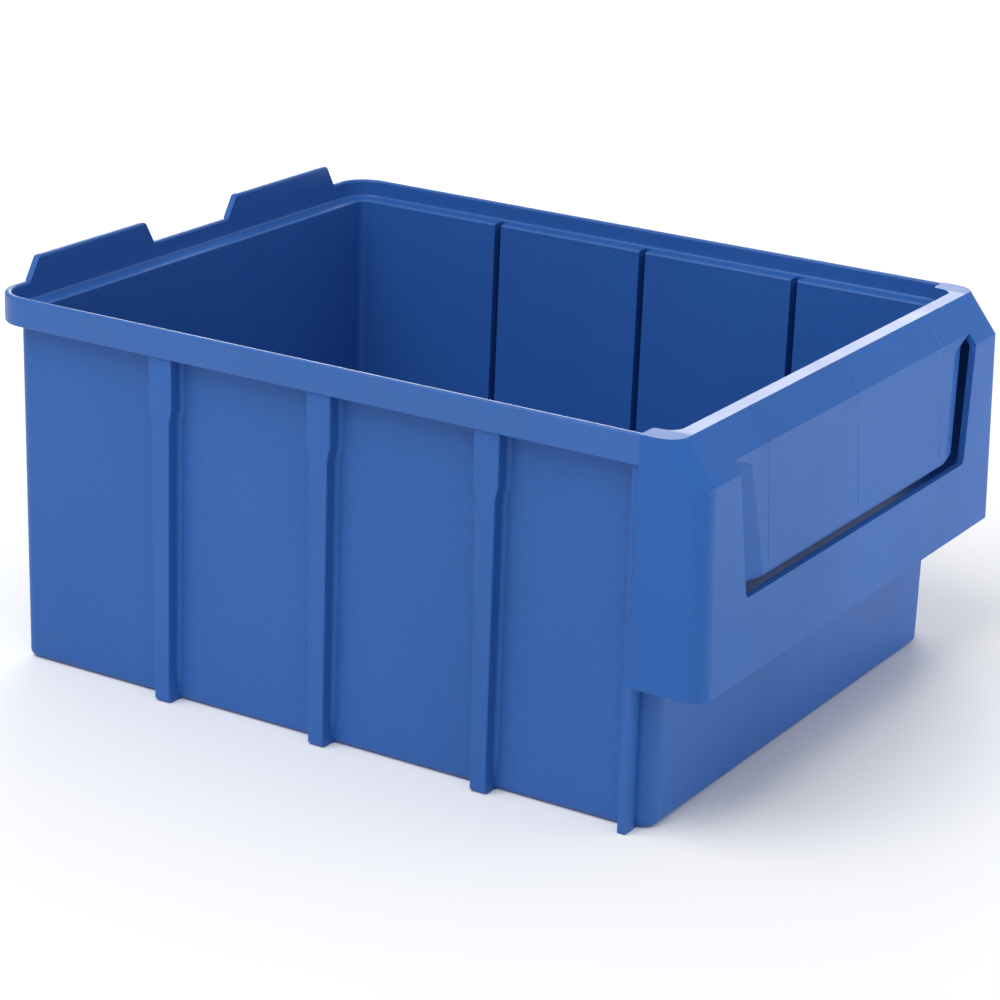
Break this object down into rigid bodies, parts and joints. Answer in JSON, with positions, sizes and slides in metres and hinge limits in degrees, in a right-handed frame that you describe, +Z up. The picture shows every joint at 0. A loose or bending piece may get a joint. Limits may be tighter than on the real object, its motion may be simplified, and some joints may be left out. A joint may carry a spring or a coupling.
{
  "type": "stackable storage bin",
  "caption": "Open moulded storage bin with stacking rim, ribbed sides, rear locating lugs and a front apron with a label window.",
  "frame": {"origin": "middle of the footprint's bounding box, on the surface that the bin stands on", "axes": "+Z up, +Y towards the rear collar with the two lugs, -Y towards the label apron, +X to the right when looking along +Y"},
  "size_m": [0.24, 0.304, 0.154],
  "materials": {
    "blue_polypropylene": "fine satin moulded surface, self-coloured blue polypropylene, roughness about 0.45"
  },
  "bodies": {
    "root": {"apron_bevel": "blue_polypropylene", "apron_cheek_left": "blue_polypropylene", "apron_cheek_right": "blue_polypropylene", "apron_lower_band": "blue_polypropylene", "apron_side_left": "blue_polypropylene", "apron_side_right": "blue_polypropylene", "card_ridge_left": "blue_polypropylene", "card_ridge_middle": "blue_polypropylene", "card_ridge_right": "blue_polypropylene", "floor_pan": "blue_polypropylene", "front_corner_left": "blue_polypropylene", "front_corner_right": "blue_polypropylene", "front_deck": "blue_polypropylene", "front_fin_left": "blue_polypropylene", "front_fin_right": "blue_polypropylene", "front_ledge": "blue_polypropylene", "front_riser": "blue_polypropylene", "front_wall": "blue_polypropylene", "label_tongue": "blue_polypropylene", "ledge_corner_left": "blue_polypropylene", "ledge_corner_right": "blue_polypropylene", "ledge_left_1": "blue_polypropylene", "ledge_left_2": "blue_polypropylene", "ledge_left_3": "blue_polypropylene", "ledge_left_4": "blue_polypropylene", "ledge_rear": "blue_polypropylene", "ledge_right_1": "blue_polypropylene", "ledge_right_2": "blue_polypropylene", "ledge_right_3": "blue_polypropylene", "ledge_right_4": "blue_polypropylene", "rear_collar_left": "blue_polypropylene", "rear_collar_middle": "blue_polypropylene", "rear_collar_right": "blue_polypropylene", "rear_corner_left": "blue_polypropylene", "rear_corner_right": "blue_polypropylene", "rear_lug_left": "blue_polypropylene", "rear_lug_right": "blue_polypropylene", "rear_wall": "blue_polypropylene", "rim_collar_left": "blue_polypropylene", "rim_collar_right": "blue_polypropylene", "rim_corner_left": "blue_polypropylene", "rim_corner_right": "blue_polypropylene", "side_panel_left_1": "blue_polypropylene", "side_panel_left_2": "blue_polypropylene", "side_panel_left_3": "blue_polypropylene", "side_panel_left_4": "blue_polypropylene", "side_panel_right_1": "blue_polypropylene", "side_panel_right_2": "blue_polypropylene", "side_panel_right_3": "blue_polypropylene", "side_panel_right_4": "blue_polypropylene", "side_rib_left_1": "blue_polypropylene", "side_rib_left_2": "blue_polypropylene", "side_rib_left_3": "blue_polypropylene", "side_rib_right_1": "blue_polypropylene", "side_rib_right_2": "blue_polypropylene", "side_rib_right_3": "blue_polypropylene"}
  },
  "joints": []
}
